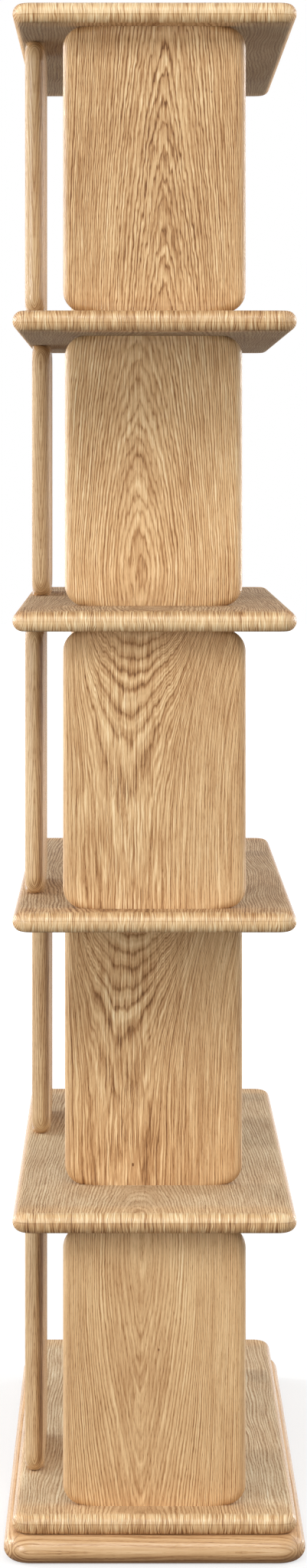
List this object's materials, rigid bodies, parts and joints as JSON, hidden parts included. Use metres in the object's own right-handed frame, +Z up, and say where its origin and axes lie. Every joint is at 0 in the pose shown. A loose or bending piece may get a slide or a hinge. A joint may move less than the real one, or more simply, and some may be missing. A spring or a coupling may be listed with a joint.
{
  "type": "bookshelf",
  "caption": "Tall open oak bookshelf: rounded shelves on a mitred plinth, held apart by upright cross and back panels that shift from end to end, tier by tier.",
  "frame": {"origin": "on the floor, under the middle of the plinth", "axes": "+X along the shelves, +Y towards the back panels, +Z up; the open front faces -Y"},
  "size_m": [1.082, 0.382, 1.97],
  "materials": {
    "oak_shelf": "natural oak, matt oil",
    "oak_panel": "natural oak, matt oil",
    "oak_plinth": "natural oak, matt oil",
    "beech_tenon": "raw beech",
    "screw_steel": "zinc plated"
  },
  "bodies": {
    "root": {"plinth_front_rail": "oak_plinth", "plinth_back_rail": "oak_plinth", "plinth_left_rail": "oak_plinth", "plinth_right_rail": "oak_plinth", "plinth_mitre_tenons": "beech_tenon", "plinth_screws": "screw_steel", "shelf_1": "oak_shelf", "shelf_2": "oak_shelf", "shelf_3": "oak_shelf", "shelf_4": "oak_shelf", "shelf_5": "oak_shelf", "shelf_6": "oak_shelf", "cross_panel_1_left": "oak_panel", "cross_panel_1_right": "oak_panel", "back_panel_1": "oak_panel", "tenons_1_foot": "beech_tenon", "tenons_1_head": "beech_tenon", "cross_panel_2_left": "oak_panel", "cross_panel_2_right": "oak_panel", "back_panel_2": "oak_panel", "tenons_2_foot": "beech_tenon", "tenons_2_head": "beech_tenon", "cross_panel_3_left": "oak_panel", "cross_panel_3_right": "oak_panel", "back_panel_3": "oak_panel", "tenons_3_foot": "beech_tenon", "tenons_3_head": "beech_tenon", "cross_panel_4_left": "oak_panel", "cross_panel_4_right": "oak_panel", "back_panel_4": "oak_panel", "tenons_4_foot": "beech_tenon", "tenons_4_head": "beech_tenon", "cross_panel_5_left": "oak_panel", "cross_panel_5_right": "oak_panel", "back_panel_5": "oak_panel", "tenons_5_foot": "beech_tenon", "tenons_5_head": "beech_tenon"}
  },
  "joints": []
}
